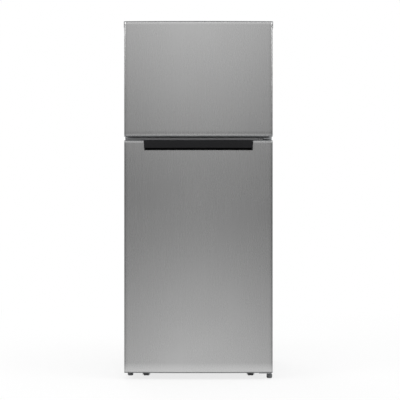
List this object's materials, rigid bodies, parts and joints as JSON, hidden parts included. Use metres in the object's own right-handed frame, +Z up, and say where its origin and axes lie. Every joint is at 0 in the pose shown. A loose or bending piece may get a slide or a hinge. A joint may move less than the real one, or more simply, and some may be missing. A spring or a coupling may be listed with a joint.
{
  "type": "top freezer refrigerator",
  "caption": "Free-standing top freezer refrigerator: two right-hinged crowned steel doors, pocket handle, glass shelves, crispers, door bins and a rear compressor bay.",
  "frame": {"origin": "on the floor under the middle of the object's box", "axes": "+Z up along the height, -Y towards the doors, +X to the right seen from the front"},
  "size_m": [0.704, 0.714, 1.691],
  "materials": {
    "stainless": "vertical brushed",
    "trim_steel": "satin",
    "cabinet_paint": "fine textured",
    "galvanised": "spangled zinc",
    "pan_paint": "satin",
    "hinge_steel": "satin",
    "screw_zinc": "zinc plated",
    "cap_plastic": "fine grain",
    "handle_plastic": "satin",
    "liner_plastic": "semi-gloss",
    "frame_plastic": "semi-gloss",
    "bin_plastic": "clear gloss",
    "shelf_glass": "polished",
    "lens_plastic": "ribbed frosted",
    "foam": "open cell",
    "gasket_rubber": "matt",
    "foot_plastic": "moulded",
    "roller_plastic": "moulded",
    "coil_aluminium": "bright",
    "heater_sheath": "heat tinted",
    "motor_black": "satin",
    "fan_plastic": "satin",
    "wire_white": "epoxy coated",
    "dial_plastic": "satin",
    "lamp_glass": "frosted",
    "compressor_black": "semi-gloss",
    "grommet_rubber": "matt",
    "copper": "drawn tube",
    "drain_plastic": "moulded"
  },
  "bodies": {
    "cabinet": {"outer_shell": "cabinet_paint", "back_panel": "galvanised", "base_pan": "pan_paint", "cabinet_foam": "foam", "freezer_liner": "liner_plastic", "fridge_liner": "liner_plastic", "mullion_trim": "trim_steel", "evaporator_cover": "liner_plastic", "evaporator_coil": "coil_aluminium", "defrost_heater": "heater_sheath", "fan_motor": "motor_black", "freezer_shelf": "wire_white", "control_housing": "frame_plastic", "lamp": "lamp_glass", "lamp_cover": "lens_plastic", "shelf_frames": "frame_plastic", "shelf_panes": "shelf_glass", "crisper_cover": "frame_plastic", "top_hinge": "hinge_steel", "top_hinge_cover": "cap_plastic", "middle_hinge": "hinge_steel", "lower_hinge": "hinge_steel", "screws": "screw_zinc", "roller_brackets": "galvanised", "compressor": "compressor_black", "compressor_grommets": "grommet_rubber", "relay_cover": "motor_black", "pipework": "copper", "drain_pan": "drain_plastic", "cord_gland": "motor_black", "rear_spacers": "cap_plastic"},
    "freezer_door": {"freezer_skin": "stainless", "freezer_cap_top": "cap_plastic", "freezer_cap_bottom": "cap_plastic", "freezer_door_foam": "foam", "freezer_door_liner": "liner_plastic", "freezer_gasket": "gasket_rubber", "freezer_bins": "bin_plastic"},
    "fridge_door": {"fridge_skin": "stainless", "fridge_handle": "handle_plastic", "fridge_cap_top": "cap_plastic", "fridge_cap_bottom": "cap_plastic", "fridge_door_foam": "foam", "fridge_door_liner": "liner_plastic", "fridge_gasket": "gasket_rubber", "fridge_bins": "bin_plastic"},
    "fan": {"fan_blade": "fan_plastic"},
    "thermostat_dial": {"thermostat_dial": "dial_plastic"},
    "freezer_dial": {"freezer_dial": "dial_plastic"},
    "fridge_switch": {"fridge_switch": "frame_plastic"},
    "crisper_left": {"crisper_left": "bin_plastic"},
    "crisper_right": {"crisper_right": "bin_plastic"},
    "humidity_slider": {"humidity_slider": "dial_plastic"},
    "foot_left": {"foot_left": "foot_plastic"},
    "foot_right": {"foot_right": "foot_plastic"},
    "front_roller_left": {"front_roller_left": "roller_plastic"},
    "front_roller_right": {"front_roller_right": "roller_plastic"},
    "rear_roller_left": {"rear_roller_left": "roller_plastic"},
    "rear_roller_right": {"rear_roller_right": "roller_plastic"}
  },
  "joints": [
    {"name": "freezer_door_hinge", "type": "hinge", "parent": "cabinet", "child": "freezer_door", "pos_m": [0.337, -0.315, 1.4], "axis": [0, 0, 1], "range_deg": [0, 135]},
    {"name": "fridge_door_hinge", "type": "hinge", "parent": "cabinet", "child": "fridge_door", "pos_m": [0.337, -0.315, 0.6], "axis": [0, 0, 1], "range_deg": [0, 135]},
    {"name": "crisper_left_slide", "type": "slide", "parent": "cabinet", "child": "crisper_left", "axis": [0, -1, 0], "range_m": [0, 0.09]},
    {"name": "crisper_right_slide", "type": "slide", "parent": "cabinet", "child": "crisper_right", "axis": [0, -1, 0], "range_m": [0, 0.09]},
    {"name": "humidity_slide", "type": "slide", "parent": "cabinet", "child": "humidity_slider", "axis": [1, 0, 0], "range_m": [-0.03, 0.03]},
    {"name": "thermostat_turn", "type": "hinge", "parent": "cabinet", "child": "thermostat_dial", "pos_m": [0.07, -0.202, 1.04], "axis": [0, 0, 1], "range_deg": [-135, 135]},
    {"name": "freezer_dial_turn", "type": "hinge", "parent": "cabinet", "child": "freezer_dial", "pos_m": [-0.07, -0.202, 1.04], "axis": [0, 0, 1], "range_deg": [-135, 135]},
    {"name": "fridge_switch_press", "type": "slide", "parent": "cabinet", "child": "fridge_switch", "axis": [0, -1, 0], "range_m": [0, 0.008]},
    {"name": "fan_spin", "type": "hinge", "parent": "cabinet", "child": "fan", "pos_m": [0, 0.233, 1.5125], "axis": [0, 1, 0], "continuous": true},
    {"name": "foot_left_turn", "type": "hinge", "parent": "cabinet", "child": "foot_left", "pos_m": [-0.328, -0.22, 0.02], "axis": [0, 0, 1], "continuous": true},
    {"name": "foot_right_turn", "type": "hinge", "parent": "cabinet", "child": "foot_right", "pos_m": [0.337, -0.298, 0.02], "axis": [0, 0, 1], "continuous": true},
    {"name": "front_roller_left_spin", "type": "hinge", "parent": "cabinet", "child": "front_roller_left", "pos_m": [-0.25, -0.245, 0.0155], "axis": [1, 0, 0], "continuous": true},
    {"name": "rear_roller_left_spin", "type": "hinge", "parent": "cabinet", "child": "rear_roller_left", "pos_m": [-0.29, 0.277, 0.013], "axis": [1, 0, 0], "continuous": true},
    {"name": "front_roller_right_spin", "type": "hinge", "parent": "cabinet", "child": "front_roller_right", "pos_m": [0.25, -0.245, 0.0155], "axis": [1, 0, 0], "continuous": true},
    {"name": "rear_roller_right_spin", "type": "hinge", "parent": "cabinet", "child": "rear_roller_right", "pos_m": [0.29, 0.277, 0.013], "axis": [1, 0, 0], "continuous": true}
  ],
  "couplings": [
    {"joint": "fridge_switch_press", "follows": "fridge_door_hinge", "m_per_rad": 0.0033}
  ]
}
